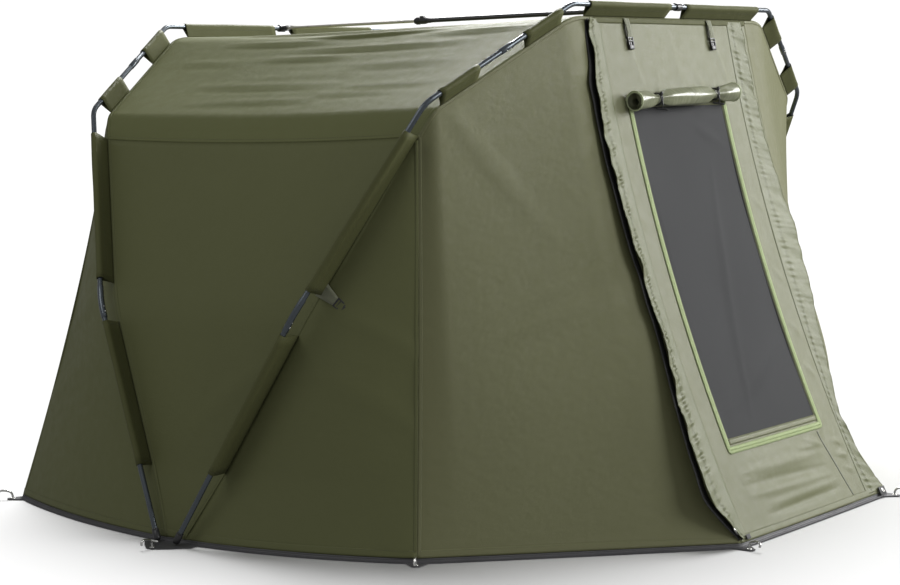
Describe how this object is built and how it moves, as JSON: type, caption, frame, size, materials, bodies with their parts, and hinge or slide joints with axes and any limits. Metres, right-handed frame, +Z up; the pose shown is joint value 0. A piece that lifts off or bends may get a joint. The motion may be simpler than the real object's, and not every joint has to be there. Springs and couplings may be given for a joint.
{
  "type": "bivvy tent",
  "caption": "Bivvy tent with a faceted fabric shell hung from leaning pole bows, a tension bar over the roof, a front door with a mesh window, a groundsheet and pegs.",
  "frame": {"origin": "on the ground, midway between the feet of the bows on the left and those on the right", "axes": "+X to the right as seen from in front of the door, -Y out of the door, +Z up"},
  "size_m": [3.0428, 2.5032, 1.5679],
  "materials": {
    "pole_tube": "dark blue-grey gloss",
    "bar_tube": "satin",
    "black_fitting": "moulded",
    "roof_cloth": "coated olive cloth",
    "wall_cloth": "coated olive cloth",
    "door_cloth": "coated olive cloth",
    "mesh": "fine mesh",
    "zip_tape": "woven tape",
    "webbing": "webbing with a black buckle",
    "groundsheet": "coated heavy sheet",
    "peg_steel": "bright"
  },
  "bodies": {
    "root": {"rear_pole_lower_left": "pole_tube", "rear_pole_lower_right": "pole_tube", "rear_pole_upper_left": "pole_tube", "rear_pole_upper_right": "pole_tube", "rear_pole_top": "pole_tube", "front_pole_lower_left": "pole_tube", "front_pole_lower_right": "pole_tube", "front_pole_upper_left": "pole_tube", "front_pole_upper_right": "pole_tube", "front_pole_top": "pole_tube", "rear_foot_cap_left": "black_fitting", "rear_foot_cap_right": "black_fitting", "front_foot_cap_left": "black_fitting", "front_foot_cap_right": "black_fitting", "rear_bar_collar": "black_fitting", "front_bar_collar": "black_fitting", "tension_bar_inner": "bar_tube", "tension_bar_clamp": "black_fitting", "tension_bar_outer": "black_fitting", "roof": "roof_cloth", "side_wall_left": "wall_cloth", "side_wall_right": "wall_cloth", "rear_side_wall_left": "wall_cloth", "rear_side_wall_right": "wall_cloth", "rear_wall": "wall_cloth", "front_side_panel_left": "wall_cloth", "front_side_panel_right": "wall_cloth", "front_panel_left": "wall_cloth", "front_panel_right": "wall_cloth", "door_panel": "door_cloth", "window_mesh": "mesh", "window_zip": "zip_tape", "window_cover_roll": "door_cloth", "window_cover_tie_left": "black_fitting", "window_cover_tie_right": "black_fitting", "storm_flap_left": "door_cloth", "storm_flap_right": "door_cloth", "door_strap_left": "webbing", "door_strap_right": "webbing", "side_strap_left": "webbing", "side_strap_right": "webbing", "groundsheet": "groundsheet", "peg_hub_left": "peg_steel", "peg_hub_right": "peg_steel", "peg_rear_middle_left": "peg_steel", "peg_rear_middle_right": "peg_steel", "peg_rear_corner_left": "peg_steel", "peg_rear_corner_right": "peg_steel", "peg_front_corner_left": "peg_steel", "peg_front_corner_right": "peg_steel", "peg_door_corner_left": "peg_steel", "peg_door_corner_right": "peg_steel"}
  },
  "joints": []
}
